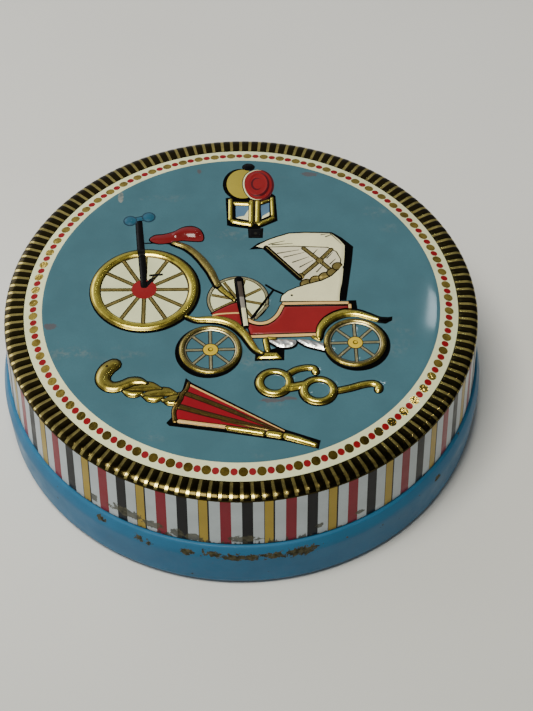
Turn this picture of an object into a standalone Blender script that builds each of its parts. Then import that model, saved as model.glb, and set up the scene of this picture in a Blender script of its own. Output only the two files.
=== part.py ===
"""Round pressed-steel cookie tin with a slip lid.

Three sheet-metal pieces: the stamped lid, the rolled body wall and the bottom
disc that the wall's turned-in foot carries. The tin's axis is +Z and its foot
ring stands on the plane z = 0. Profiles are lists of (radius, height) points
along one side of the sheet, which is then given its thickness and turned
around the axis.
"""
import bpy
import bmesh
from math import cos, hypot, pi, radians, sin

MM = 0.001

# Driving dimensions, in metres
SHEET = 0.28 * MM             # thickness of the tinplate
CLEARANCE = 0.30 * MM         # gap kept between pieces that touch
STEPS = 72                    # facets around the axis

PANEL_TOP = 47.85 * MM        # flat picture panel of the lid, above the floor
PANEL_RADIUS = 67.4 * MM
BORDER_TOP = 46.2 * MM        # inner edge of the ribbed band, lower than the panel
BORDER_RADIUS = 73.6 * MM
SHOULDER_RADIUS = 80.45 * MM  # widest point of the lid's rounded shoulder
BROAD_ROUND = 6.0 * MM        # gentle part of the shoulder, under the ribbed band
TIGHT_ROUND = 1.4 * MM        # quick turn from the band down to the skirt
SHOULDER_DROP = 0.15 * MM     # fall of the ribbed band from its inner edge
RIM_DROP = 1.13 * MM          # top of the base's curled rim below the printed ring
LID_EDGE = 21.5 * MM          # lower edge of the lid's skirt when the lid is on
SKIRT_RADIUS = 80.9 * MM      # at the hem; the skirt opens a little downwards
HEM_HEIGHT = 4.0 * MM         # height of the edge folded back inside the skirt
HEM_ROUND = 0.44 * MM         # outer radius of that fold

WALL_TOP_RADIUS = 83.1 * MM   # body wall just below its shoulder
WALL_FOOT_RADIUS = 82.3 * MM  # body wall just above its lower rounding
FOOT_ROUND = 3.0 * MM
FOOT_INNER_RADIUS = 75.5 * MM  # inner edge of the foot ring that the tin stands on
NECK_RADIUS = 79.6 * MM       # wall inside the lid's skirt
NECK_ROUND = 0.6 * MM         # hollow corner between the neck and the ledge
CURL_RADIUS = 1.0 * MM        # the wall's top edge is curled inwards

PANEL_RISE = 2.4 * MM         # bottom disc: middle panel above its seated flange
PANEL_EDGE_RADIUS = 73.8 * MM  # outer edge of that middle panel
RISE_WIDTH = 1.0 * MM         # radial width of the step up to it
UPSTAND = 1.0 * MM            # bottom disc: height of its turned-up edge


def clear_scene():
    for thing in list(bpy.data.objects):
        bpy.data.objects.remove(thing, do_unlink=True)


def arc(centre, radius, start, end, count):
    """Points on an arc from start to end, both in degrees, as (radius, height)."""
    points = []
    for step in range(count + 1):
        angle = radians(start + (end - start) * step / count)
        points.append((centre[0] + radius * cos(angle), centre[1] + radius * sin(angle)))
    return points


def inner_side(outline):
    """The outline moved by the sheet's thickness to its right-hand side."""
    moved = []
    last = len(outline) - 1
    for index, (radius, height) in enumerate(outline):
        before = outline[max(index - 1, 0)]
        after = outline[min(index + 1, last)]
        into = unit(radius - before[0], height - before[1]) if index else None
        out_of = unit(after[0] - radius, after[1] - height) if index < last else None
        into = into or out_of
        out_of = out_of or into
        along = unit(into[0] + out_of[0], into[1] + out_of[1])
        reach = SHEET / max(along[0] * into[0] + along[1] * into[1], 0.5)
        moved.append((max(radius + along[1] * reach, 0.0), height - along[0] * reach))
    return moved


def unit(x, z):
    length = hypot(x, z)
    return (x / length, z / length)


def principled(name, colour, roughness, metallic):
    material = bpy.data.materials.new(name)
    material.use_nodes = True
    shader = material.node_tree.nodes["Principled BSDF"]
    shader.inputs["Base Color"].default_value = (*colour, 1.0)
    shader.inputs["Roughness"].default_value = roughness
    shader.inputs["Metallic"].default_value = metallic
    material.diffuse_color = (*colour, 1.0)
    return material


def turned_sheet(name, outline, base_height, material):
    """Turn a sheet's section around +Z; the object's origin is at base_height."""
    loop = outline + list(reversed(inner_side(outline)))
    shape = bmesh.new()
    corners = [shape.verts.new((radius, 0.0, height - base_height)) for radius, height in loop]
    edges = []
    for index, corner in enumerate(corners):
        following = corners[(index + 1) % len(corners)]
        on_axis = loop[index][0] == 0.0 and loop[(index + 1) % len(loop)][0] == 0.0
        if not on_axis:
            edges.append(shape.edges.new((corner, following)))
    bmesh.ops.spin(shape, geom=corners + edges, cent=(0.0, 0.0, 0.0), dvec=(0.0, 0.0, 0.0),
                   axis=(0.0, 0.0, 1.0), angle=2.0 * pi, steps=STEPS,
                   use_merge=True, use_duplicate=False)
    bmesh.ops.remove_doubles(shape, verts=shape.verts, dist=1e-7)
    bmesh.ops.recalc_face_normals(shape, faces=shape.faces)
    mesh = bpy.data.meshes.new(name)
    shape.to_mesh(mesh)
    shape.free()
    mesh.shade_smooth()
    mesh.set_sharp_from_angle(angle=radians(35.0))
    mesh.materials.append(material)
    piece = bpy.data.objects.new(name, mesh)
    piece.location = (0.0, 0.0, base_height)
    bpy.context.scene.collection.objects.link(piece)
    return piece


def make_lid():
    """Stamped lid: raised panel, sloping ring, rounded shoulder, skirt and folded hem."""
    crown = BORDER_TOP - SHOULDER_DROP
    join = radians(60.0)
    broad_top = radians(87.0)
    broad_fall = BROAD_ROUND * (sin(broad_top) - sin(join)) + TIGHT_ROUND * sin(join)
    tight = (SHOULDER_RADIUS - TIGHT_ROUND, crown - broad_fall)
    broad = (tight[0] - (BROAD_ROUND - TIGHT_ROUND) * cos(join),
             tight[1] - (BROAD_ROUND - TIGHT_ROUND) * sin(join))
    hem = (SKIRT_RADIUS - HEM_ROUND, LID_EDGE + HEM_ROUND)
    hem_top = LID_EDGE + HEM_HEIGHT
    outline = [(0.0, PANEL_TOP), (PANEL_RADIUS - 0.8 * MM, PANEL_TOP),
               (PANEL_RADIUS, PANEL_TOP - 0.15 * MM), (BORDER_RADIUS, BORDER_TOP)]
    outline += arc(broad, BROAD_ROUND, 87.0, 60.0, 2)
    outline += arc(tight, TIGHT_ROUND, 60.0, 0.0, 3)[1:]
    outline.append((SKIRT_RADIUS, hem_top))
    outline += arc(hem, HEM_ROUND, 0.0, -180.0, 4)
    outline.append((SKIRT_RADIUS - 2.0 * HEM_ROUND, hem_top))
    enamel = principled("lid_print", (0.080, 0.205, 0.262), 0.32, 0.0)
    return turned_sheet("lid", outline, LID_EDGE, enamel)


def make_body_wall():
    """Rolled wall: inward curl, neck under the lid, rounded ledge, wall and turned-in foot."""
    shelf = LID_EDGE - CLEARANCE
    rim_top = BORDER_TOP - RIM_DROP
    curl = (NECK_RADIUS - CURL_RADIUS, rim_top - CURL_RADIUS)
    ledge_round = 0.9 * MM
    ledge = (NECK_RADIUS + 1.6 * MM, shelf - ledge_round)
    shoulder_round = 9.0 * MM
    shoulder_slope = 17.0
    shoulder = (WALL_TOP_RADIUS - shoulder_round, shelf - 5.4 * MM)
    outline = arc(curl, CURL_RADIUS, 250.0, 0.0, 6)
    outline += arc((NECK_RADIUS + NECK_ROUND, shelf + NECK_ROUND), NECK_ROUND, 180.0, 270.0, 2)
    outline += arc(ledge, ledge_round, 90.0, shoulder_slope, 2)
    outline += arc(shoulder, shoulder_round, shoulder_slope, 0.0, 2)
    foot = (WALL_FOOT_RADIUS - FOOT_ROUND, FOOT_ROUND)
    outline += arc(foot, FOOT_ROUND, 0.0, -90.0, 4)
    outline.append((FOOT_INNER_RADIUS, 0.0))
    enamel = principled("body_enamel", (0.045, 0.112, 0.180), 0.35, 0.0)
    return turned_sheet("body_wall", outline, 0.0, enamel)


def make_bottom_disc():
    """Bottom disc: middle panel raised off the floor, seated flange and turned-up edge."""
    seat = SHEET + CLEARANCE
    flange_round = FOOT_ROUND - seat
    corner = (WALL_FOOT_RADIUS - FOOT_ROUND, FOOT_ROUND)
    under = seat + PANEL_RISE
    outline = [(corner[0] + flange_round, FOOT_ROUND + UPSTAND)]
    outline += arc(corner, flange_round, 0.0, -90.0, 4)
    outline += [(PANEL_EDGE_RADIUS + RISE_WIDTH, seat), (PANEL_EDGE_RADIUS, under), (0.0, under)]
    tinplate = principled("tinplate", (0.55, 0.55, 0.53), 0.30, 1.0)
    return turned_sheet("bottom_disc", outline, 0.0, tinplate)


clear_scene()
make_lid()
make_body_wall()
make_bottom_disc()
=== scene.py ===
"""Looks of the round cookie tin: printed and embossed slip lid, enamelled wall, raised bottom.

Lengths are in millimetres up to the moment when a mesh is made; MM turns them into metres.
Plan positions on the lid are (x, y) from the tin's axis, with -y towards the viewer.
"""
import math

import bpy
import numpy as np
from mathutils import Matrix, Vector, geometry


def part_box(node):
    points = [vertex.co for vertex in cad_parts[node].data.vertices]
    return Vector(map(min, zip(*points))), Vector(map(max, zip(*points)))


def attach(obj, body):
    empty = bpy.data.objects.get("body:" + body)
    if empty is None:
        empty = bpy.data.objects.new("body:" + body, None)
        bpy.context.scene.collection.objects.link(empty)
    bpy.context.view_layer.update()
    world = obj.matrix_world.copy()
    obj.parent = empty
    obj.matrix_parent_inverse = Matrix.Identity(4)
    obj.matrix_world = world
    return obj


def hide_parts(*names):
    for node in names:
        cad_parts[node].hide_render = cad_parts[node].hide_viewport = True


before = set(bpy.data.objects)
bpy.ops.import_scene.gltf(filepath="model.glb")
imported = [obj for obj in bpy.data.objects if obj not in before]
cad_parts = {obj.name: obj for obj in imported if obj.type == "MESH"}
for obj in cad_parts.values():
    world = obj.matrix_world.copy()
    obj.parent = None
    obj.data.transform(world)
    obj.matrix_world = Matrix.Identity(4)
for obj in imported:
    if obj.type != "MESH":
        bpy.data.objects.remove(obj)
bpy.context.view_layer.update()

MM = 0.001

# ---- Sizes, from the frame where it has them -------------------------------------------------
SHEET = 0.28                          # thickness of the sheet metal
CLEARANCE = 0.30                      # gap between one sheet and the next
LID_LOW, LID_HIGH = (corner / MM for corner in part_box("lid"))
WALL_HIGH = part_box("body_wall")[1] / MM

PANEL_TOP = LID_HIGH.z
PANEL_RADIUS = 67.4
BORDER_TOP = PANEL_TOP - 1.65
BORDER_RADIUS = 73.6
DOT_RADIUS = 70.45
SHOULDER_RADIUS = 80.45
BROAD_ROUND = 6.0                     # gentle part of the shoulder, under the fluted band
TIGHT_ROUND = 1.4                     # quick turn from the band down to the skirt
SHOULDER_START = 87.0                 # slopes at the ends of the gentle part, in degrees:
SHOULDER_JOIN = 60.0                  # its inner end, and where it meets the quick turn
CROWN = BORDER_TOP - 0.15
LID_EDGE = LID_LOW.z
SKIRT_RADIUS = LID_HIGH.x
HEM_HEIGHT = 4.0
HEM_ROUND = 0.44

WALL_TOP_RADIUS = WALL_HIGH.x
WALL_FOOT_RADIUS = WALL_TOP_RADIUS - 0.8
FOOT_ROUND = 3.0
FOOT_INNER_RADIUS = 75.5
NECK_RADIUS = 79.6
NECK_ROUND = 0.6
CURL_RADIUS = 1.0
LEDGE_WIDTH = 1.6                     # flat part of the ledge under the lid
LEDGE_ROUND = 0.9                     # its outer edge
LEDGE_SLOPE = 17.0                    # where the ledge's round meets the wall's, in degrees
WALL_ROUND = 9.0                      # slight bulge of the wall below the ledge,
BULGE_DROP = 5.4                      # and how far below it the wall is widest
SEAM_HEIGHT = 0.16                    # how far the lap seam at the back stands out
RIM_TOP = BORDER_TOP - 1.13           # top of the curled rim, under the lid's shoulder
PANEL_RISE = 2.4                      # the bottom disc's middle stands this much above its seat,
PANEL_EDGE_RADIUS = 73.8              # within this radius,
RISE_WIDTH = 1.0                      # and slopes down over this width

FLUTES = 144                          # black pads round the shoulder, and stripes on the skirt
FLUTE_TURN = math.radians(0.6)        # azimuth of the first gold groove
# points of the mesh across one flute, as shares of it from the middle of its groove
FLUTE_STATIONS = (0.0, 0.06, 0.15, 0.18, 0.22, 0.3, 0.7, 0.78, 0.82, 0.85)
GROOVE_HALF = 0.15                    # half a gold groove, as a share of one flute
FLUTE_BEVEL = 0.12                    # width of a pad's rounded edge, as a share of one flute
FLUTE_DEPTH = 0.06
FLUTE_MARGIN = 0.35                   # flat strip between the cream ring and the pads' ends
FLUTE_END = 0.7                       # length of a pad's rounded end
STRIPES = ("stripe_black", "stripe_white", "stripe_gold", "stripe_white", "stripe_red", "stripe_white")
FIRST_STRIPE = 108                    # the flute over the stripe that starts the row of colours
DOT_PAIRS = 75                        # gold and red dots take turns on the cream ring
DOTS = (("dot_red", 1.22), ("dot_gold", 1.58))
DOT_TURN = math.radians(9.43)         # azimuth of the first red dot


# ---- Small geometry helpers ------------------------------------------------------------------
def arc(centre, radius, start, end, count):
    """Points from angle start to angle end, in degrees."""
    angles = np.radians(np.linspace(start, end, count + 1))
    return [(centre[0] + radius * math.cos(a), centre[1] + radius * math.sin(a)) for a in angles]


def ellipse(centre, across, up, count=64, tilt=0.0):
    """Closed outline of an ellipse with half-axes across and up, turned by tilt degrees."""
    angles = np.linspace(0.0, 2.0 * math.pi, count, endpoint=False)
    x, y = across * np.cos(angles), up * np.sin(angles)
    c, s = math.cos(math.radians(tilt)), math.sin(math.radians(tilt))
    return [(centre[0] + c * a - s * b, centre[1] + s * a + c * b) for a, b in zip(x, y)]


def circle(centre, radius, count=64):
    return ellipse(centre, radius, radius, count)


def smooth(points, spacing=0.6, closed=False):
    """A Catmull-Rom curve through the points, read at about this spacing."""
    pts = [np.array(p, float) for p in points]
    last = len(pts) if closed else len(pts) - 1
    curve = []
    for i in range(last):
        p1, p2 = pts[i], pts[(i + 1) % len(pts)]
        p0 = pts[i - 1] if closed or i > 0 else 2 * p1 - p2
        p3 = pts[(i + 2) % len(pts)] if closed or i + 2 < len(pts) else 2 * p2 - p1
        steps = max(1, int(round(np.linalg.norm(p2 - p1) / spacing)))
        for t in np.arange(steps) / steps:
            curve.append(0.5 * (2 * p1 + (p2 - p0) * t + (2 * p0 - 5 * p1 + 4 * p2 - p3) * t ** 2
                                + (3 * p1 - p0 - 3 * p2 + p3) * t ** 3))
    if not closed:
        curve.append(pts[-1])
    return [(float(p[0]), float(p[1])) for p in curve]


def between(start, end, shares):
    """Points of the straight line from start to end, at these shares of it."""
    return [tuple(np.array(start) * (1 - t) + np.array(end) * t) for t in shares]


def spread(values, count):
    """One value, or a few spaced evenly, read at count places."""
    values = np.atleast_1d(np.array(values, float))
    return np.interp(np.linspace(0, 1, count), np.linspace(0, 1, len(values)), values)


def ribbon(path, width, round_ends=True):
    """Closed outline of a band of this width, or these widths, along a path."""
    pts = np.array(path, float)
    half = spread(width, len(pts)) / 2.0
    along = np.gradient(pts, axis=0)
    along /= np.linalg.norm(along, axis=1)[:, None]
    side = np.stack([-along[:, 1], along[:, 0]], -1)
    left = pts + side * half[:, None]
    right = pts - side * half[:, None]
    end, start = [], []
    if round_ends:
        turn = np.radians(np.linspace(90.0, -90.0, 7)[1:-1])
        end = [pts[-1] + half[-1] * (math.cos(a) * along[-1] + math.sin(a) * side[-1]) for a in turn]
        start = [pts[0] - half[0] * (math.cos(a) * along[0] + math.sin(a) * side[0]) for a in turn]
    return [tuple(map(float, p)) for p in [*left, *end, *right[::-1], *start]]


def grown(outline, by):
    """The closed outline moved outwards by this much, with mitred corners."""
    pts = np.array(outline, float)
    area = np.sum(pts[:, 0] * np.roll(pts[:, 1], -1) - pts[:, 1] * np.roll(pts[:, 0], -1))
    into = pts - np.roll(pts, 1, axis=0)
    into /= np.linalg.norm(into, axis=1)[:, None]
    out = np.roll(into, -1, axis=0)
    side = np.stack([into[:, 1] + out[:, 1], -into[:, 0] - out[:, 0]], -1)
    side /= np.linalg.norm(side, axis=1)[:, None] + 1e-9
    reach = np.clip(side[:, 0] * into[:, 1] - side[:, 1] * into[:, 0], 0.6, 1.0)
    pts = pts + side * (by * math.copysign(1.0, area) / reach)[:, None]
    return [tuple(map(float, p)) for p in pts]


def inside(outline, x, y):
    """Which of the points (x, y) lie inside the outline, by the even-odd rule."""
    found = np.zeros(np.shape(x), bool)
    xa, ya = outline[-1]
    for xb, yb in outline:
        if ya != yb:
            crosses = (ya > y) != (yb > y)
            found ^= crosses & (x < (xb - xa) * (y - ya) / (yb - ya) + xa)
        xa, ya = xb, yb
    return found


def segment_gap(a, b, x, y):
    """Distances of the points (x, y) from the line from a to b, and their places along it, 0 to 1."""
    run = b - a
    t = np.clip(((x - a[0]) * run[0] + (y - a[1]) * run[1]) / max(run @ run, 1e-9), 0, 1)
    return np.hypot(x - a[0] - t * run[0], y - a[1] - t * run[1]), t


# ---- The stamped relief: one height field over the lid's plan ---------------------------------
class Relief:
    """Heights pressed into the lid, on a square grid, softened as sheet metal is."""

    STEP = 0.15
    REACH = 75.0
    SOFT = 0.28

    def __init__(self):
        self.axis = np.arange(-self.REACH, self.REACH, self.STEP)
        self.field = np.zeros((len(self.axis), len(self.axis)))

    def cell(self, values):
        """Numbers of the grid lines nearest to these positions."""
        return ((values + self.REACH) / self.STEP).round().astype(int)

    def window(self, low, high):
        """Slices of the grid between two corners, and the x and y of its points."""
        a = np.clip(((np.array(low) + self.REACH) / self.STEP).astype(int) - 1, 0, None)
        b = ((np.array(high) + self.REACH) / self.STEP).astype(int) + 2
        part = (slice(a[1], b[1]), slice(a[0], b[0]))
        x, y = np.meshgrid(self.axis[part[1]], self.axis[part[0]])
        return part, x, y

    def lift(self, part, height):
        """Raise this part of the field to the heights, where it is lower."""
        self.field[part] = np.maximum(self.field[part], height)

    def tube(self, path, width, height):
        """A round-topped bar along a path."""
        pts = np.array(path, float)
        half = spread(width, len(pts)) / 2.0
        for a, b, ha, hb in zip(pts[:-1], pts[1:], half[:-1], half[1:]):
            room = max(ha, hb) + 0.2
            part, x, y = self.window(np.minimum(a, b) - room, np.maximum(a, b) + room)
            gap, t = segment_gap(a, b, x, y)
            self.lift(part, height * np.clip(1 - (gap / (ha + t * (hb - ha))) ** 2, 0, None))

    def ring(self, centre, across, up, width, height):
        """A round-topped hoop, width wide, on an ellipse."""
        room = np.array([across + width, up + width])
        part, x, y = self.window(centre - room, centre + room)
        size = np.hypot((x - centre[0]) / across, (y - centre[1]) / up)
        gap = np.abs(size - 1) * (across + up) / width
        self.lift(part, height * np.clip(1 - gap ** 2, 0, None))

    def dome(self, centre, across, up, height):
        """A cushion on an ellipse."""
        room = max(across, up)
        part, x, y = self.window(np.array(centre) - room, np.array(centre) + room)
        size = ((x - centre[0]) / across) ** 2 + ((y - centre[1]) / up) ** 2
        self.lift(part, height * np.clip(1 - size, 0, None))

    def plate(self, outline, rim, height):
        """A flat-topped area whose edge rises over the width rim."""
        pts = np.array(outline, float)
        part, x, y = self.window(pts.min(0), pts.max(0))
        gap = np.full(x.shape, rim)
        for a, b in zip(pts, np.roll(pts, -1, axis=0)):
            gap = np.minimum(gap, segment_gap(a, b, x, y)[0])
        rise = gap / rim
        self.lift(part, height * np.where(inside(outline, x, y), rise * (2 - rise), 0.0))

    def soften(self):
        """Blur the field and keep its slopes, for the shading normals."""
        reach = int(math.ceil(3 * self.SOFT / self.STEP))
        weight = np.exp(-0.5 * (np.arange(-reach, reach + 1) * self.STEP / self.SOFT) ** 2)
        weight /= weight.sum()
        for way in (0, 1):
            self.field = sum(w * np.roll(self.field, k - reach, way) for k, w in enumerate(weight))
        self.slope_y, self.slope_x = np.gradient(self.field, self.STEP)

    def read(self, grid, x, y):
        """The grid at these points, between its own points in straight lines."""
        u = np.clip((x + self.REACH) / self.STEP, 0, len(self.axis) - 1.001)
        v = np.clip((y + self.REACH) / self.STEP, 0, len(self.axis) - 1.001)
        i, j = u.astype(int), v.astype(int)
        u, v = u - i, v - j
        low = grid[j, i] * (1 - u) + grid[j, i + 1] * u
        high = grid[j + 1, i] * (1 - u) + grid[j + 1, i + 1] * u
        return low * (1 - v) + high * v


# ---- The picture: areas of ink in painter's order, with their relief --------------------------
class Picture:
    """Printed areas and pressed shapes of the lid's flat middle."""

    LINE = 0.5                            # width of the black line round a shape
    LIT_SHIFT, LIT_SHARE = (-0.14, 0.16), 0.76      # the lit part of a gold bar: where, how wide
    SPOKE_RISE = 0.08

    def __init__(self):
        self.areas = []
        self.relief = Relief()

    def fill(self, ink, outline):
        self.areas.append((ink, outline))

    def bar(self, ink, path, width, height=0.0, line=LINE, shade=(0.0, 0.0)):
        """An outlined bar; shade moves the black under it. Gold bars get painted shade and light: a darker
        lower right edge, under a narrower lit copy of their gold moved up and left.
        """
        count = len(path)
        if line:
            under = [(x + shade[0], y + shade[1]) for x, y in path]
            self.fill("black", ribbon(under, spread(width, count) + 2 * line))
        self.fill(ink, ribbon(path, width))
        # painted shade and highlight: the whole bar in darker gold, then a lighter, narrower copy moved up
        # and left, so the lower right edge looks shaded
        if ink in ("gold", "rope_gold"):
            self.fill("shaded_gold", ribbon(path, width))
            lit = [(x + self.LIT_SHIFT[0], y + self.LIT_SHIFT[1]) for x, y in path]
            self.fill(ink, ribbon(lit, spread(width, count) * self.LIT_SHARE))
        if height:
            self.relief.tube(path, width, height)

    def discs(self, centre, *layers):
        """Round areas, one on another; each is (ink, radius, corners) and then x and y off the centre."""
        for ink, radius, corners, *off in layers:
            x, y = off or (0, 0)
            self.fill(ink, circle((centre[0] + x, centre[1] + y), radius, corners))

    def stroke(self, ink, path, width):
        self.fill(ink, ribbon(path, width))

    def outlined(self, ink, outline, height=0.0, rim=1.0, line=LINE):
        self.fill("black", grown(outline, line))
        self.fill(ink, outline)
        if height:
            self.relief.plate(outline, rim, height)

    def spokes(self, centre, inner, outer, count, turn, bar_width, line, ink="spoke_gold"):
        """Spokes with dark edges, evenly spaced from the angle turn, in degrees."""
        for k in range(count):
            angle = math.radians(turn + 360.0 * k / count)
            way = np.array([math.cos(angle), math.sin(angle)])
            run = [tuple(centre + way * inner), tuple(centre + way * outer)]
            self.fill("bronze", ribbon(run, bar_width + 2 * line, False))
            self.fill(ink, ribbon(run, bar_width, False))
            self.relief.tube(run, bar_width + line, self.SPOKE_RISE)


def draw_high_wheeler(art):
    """Bicycle with one large wheel: wheels, fork, backbone, saddle and handlebar."""
    large = np.array([-33, 5.5])
    # painted shade: a darker gold rim shows on the lower right, where the lighter gold disc is moved up
    # and left
    art.discs(large, ("black", 19, 144, 0.25, -0.35), ("shaded_gold", 18.4, 144),
              ("gold", 17.75, 144, -0.15, 0.2), ("bronze", 15.3, 128, 0.1, 0.1), ("cream", 14.8, 128))
    art.relief.ring(large, 16.7, 16.7, 3.5, 0.85)
    art.spokes(large, 3.5, 15, 12, 0.5, 0.8, 0.36)
    art.discs(large, ("red", 4.3, 48, -0.1, 0.2))
    art.relief.dome(large, 4.3, 4.3, 0.3)

    small = np.array([-1.1, 1])
    art.discs(small, ("black", 10.7, 96), ("pale_gold", 10.35, 96), ("bronze", 9.6, 96),
              ("cream", 9.3, 96))
    art.relief.ring(small, 9.9, 9.9, 1.2, 0.2)
    art.spokes(small, 1, 9.2, 8, 32, 0.7, 0.25)

    for crank, width in (([(-32.8, 6.8), (-30.9, 9.9)], [1.6, 1.5]),
                         ([(-30.9, 9.9), (-28.9, 11.6)], [0.8, 0.6]), ([(-31.2, 12), (-27.3, 12.4)], 1)):
        art.stroke("charcoal", crank, width)
    fork = [(-36.2, 37.4), (-35.2, 27), (-34.1, 17), (-33.3, 7)]
    art.bar("charcoal", smooth(fork), [2.1, 2.3, 2.2, 1.7], 0.5, line=0.2)

    art.stroke("black", smooth([(-33.6, 26.9), (-29, 27), (-24.5, 26.6)]), 0.6)
    stay = [(-8.3, 8), (-6.5, 5.4), (-4.6, 3.4), (-2.2, 0.7)]
    art.bar("gold", smooth(stay), [2, 1.9, 1.6, 0.9], 0.6, line=0.35)
    backbone = [(-23.6, 27.2), (-18.8, 24.9), (-14.6, 20.6), (-10.9, 14.7), (-9.3, 11), (-8, 7.6)]
    art.bar("aged_gold", smooth(backbone), [1.7, 2.2, 2.4, 2.6, 2.4, 2], 0.7, shade=(-0.3, -0.35))
    saddle = [(-31.9, 28.3), (-30.4, 30.4), (-27, 31), (-23.4, 32.2), (-20.4, 34.3), (-17.2, 34.7),
              (-14.6, 33), (-13.5, 30.2), (-13.9, 28.1), (-17, 28), (-21, 28.3), (-24.6, 27.3),
              (-29, 26.8)]
    art.outlined("leather", smooth(saddle, closed=True), line=0.45)
    art.relief.tube(smooth([(-31, 28.7), (-26, 29.4), (-21, 31.4)]), [2.4, 4, 5.6], 0.45)
    art.relief.tube(smooth([(-23, 30.6), (-20, 32), (-16.4, 32)]), [3.4, 4.8, 4.6], 1.05)

    art.bar("knob_blue", smooth([(-39.2, 37.6), (-36.2, 38.3), (-32.9, 39.3)]), 2, 0.35, line=0.3)
    for knob in ((-39.2, 37.5), (-32.8, 39.3)):
        art.discs(knob, ("navy", 2.45, 32), ("knob_blue", 1.95, 32))
        art.relief.dome(knob, 2.2, 2.2, 0.6)


def draw_road_wheel(art, centre, shade):
    """A spoked wheel of the car, with a tyre that shows dark on one side."""
    centre = np.array(centre)
    # painted shade: a darker gold rim shows on the lower right, where the aged gold disc is moved up and
    # left
    art.discs(centre, ("black", 11.2, 112, *shade), ("shaded_gold", 10.4, 112),
              ("aged_gold", 9.9, 112, -0.1, 0.15), ("bronze", 8.85, 96), ("pale_gold", 8.6, 96),
              ("black", 8.25, 96), ("panel_blue", 7.95, 96))
    art.relief.ring(centre, 9.5, 9.5, 2.1, 0.75)
    art.spokes(centre, 1.5, 8.3, 8, 2, 0.7, 0.32, "pale_gold")
    art.discs(centre, ("bronze", 2.7, 40), ("hub_yellow", 2.4, 40), ("bronze", 0.85, 24),
              ("hub_yellow", 0.55, 20, 0.1, 0.1))
    art.relief.dome(centre, 2.8, 2.8, 0.2)


def draw_hood(art):
    """Folding hood of the car, with its side open over a crossed frame."""
    back = [(31.4, 32.2), (34.8, 29.6), (38.7, 25.4), (38, 18), (36.8, 9), (35.7, 0.6), (33.6, 0.6),
            (34.2, 12), (35, 22), (33.4, 28)]
    art.fill("black", back)
    peak = [(2.6, 24), (5.6, 27), (9.4, 28.9), (11, 27.4), (8.6, 24.4)]
    art.fill("black", peak)
    shell = [(5, 25.5), (9, 28.2), (12.4, 29.8), (16.4, 31.4), (22, 31.8), (31, 31.6), (33.8, 28.8),
             (35.7, 26), (35.5, 21), (34.7, 12), (33.8, 4), (33.3, 1), (31.5, 2), (32.6, 10.6),
             (30.4, 10.4), (20.6, 10.2), (8.6, 24.2)]
    art.outlined("white", shell, 0.5, 1.6, line=0.6)
    lining = [(9.2, 24.6), (18, 24.9), (29.6, 24.4), (32.6, 22.4), (34, 19), (33.6, 14.6), (30.6, 10.6),
              (20.6, 10)]
    art.fill("dark_line", grown(lining, 0.42))
    art.fill("lining", lining)
    folds = (((12.4, 21.8), (19.8, 23.4)), ((14.6, 20), (21.6, 22.2)), ((17.6, 17.6), (23.2, 20.2)),
             ((20, 15.4), (24.6, 18.6)), ((25.8, 13.2), (28.4, 16.8)), ((29.4, 19.6), (31.4, 22.2)),
             ((30.4, 16.8), (32.4, 19.2)), ((24.6, 21.4), (26.2, 23.6)), ((9.4, 26), (14.8, 27.6)),
             ((10.6, 25.8), (17.6, 26.4)), ((27.6, 30.6), (30.4, 31.4)), ((29.2, 29.6), (31.2, 30.8)),
             ((30.8, 31.4), (34.6, 26.4)))
    for start, end in folds:
        art.stroke("dark_line", [start, end], [0.5, 0.2])
    for top, foot in (((21.4, 24.2), (31.3, 13.4)), ((31, 23.6), (20.4, 11.3))):
        art.bar("spoke_gold", [top, (26.9, 18.4), foot], 1, 0.4, line=0.35)
    for hub, size in (((26.9, 18.4), 1.1), ((20.3, 11.4), 1)):
        art.discs(hub, ("bronze", size + 0.35, 28), ("spoke_gold", size, 28))
        art.relief.dome(hub, size, size, 0.5)
    front = [(8.4, 24.6), (14.2, 17.6), (20, 10.6)]
    art.stroke("black", front, 2)
    art.stroke("spoke_gold", [(x + 0.2, y + 0.15) for x, y in front], 0.3)
    art.relief.tube(front, 1.8, 0.35)


def draw_seat(art):
    """White seat of the car, with a buttoned gold top edge."""
    for centre, size in (((22.2, 8.2), 1.9), ((25.4, 9.4), 1.9), ((28.6, 11), 1.9), ((31.3, 13), 1.8),
                         ((33, 15.8), 1.6)):
        for ink, more in (("bronze", 0.5), ("spoke_gold", 0)):
            art.fill(ink, ellipse(centre, size + more, size * 0.9 + more, 32, 30))
        art.relief.dome(centre, size, size, 0.25)
    seat = [(13.5, 0.4), (13.9, 2.6), (16, 4.8), (19, 6.4), (23, 7.9), (27.4, 9.4), (31, 11.4), (33.2, 14),
            (33.8, 12), (33.6, 6), (33.3, 0.5)]
    art.outlined("white", seat, 0.35, 1.2, line=0.45)
    art.fill("white", [(31, 1), (33.2, 1), (34.5, 12), (34.9, 17), (33, 13.4), (31, 11)])
    art.discs((17.2, 2.7), ("charcoal", 0.45, 16))


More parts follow.
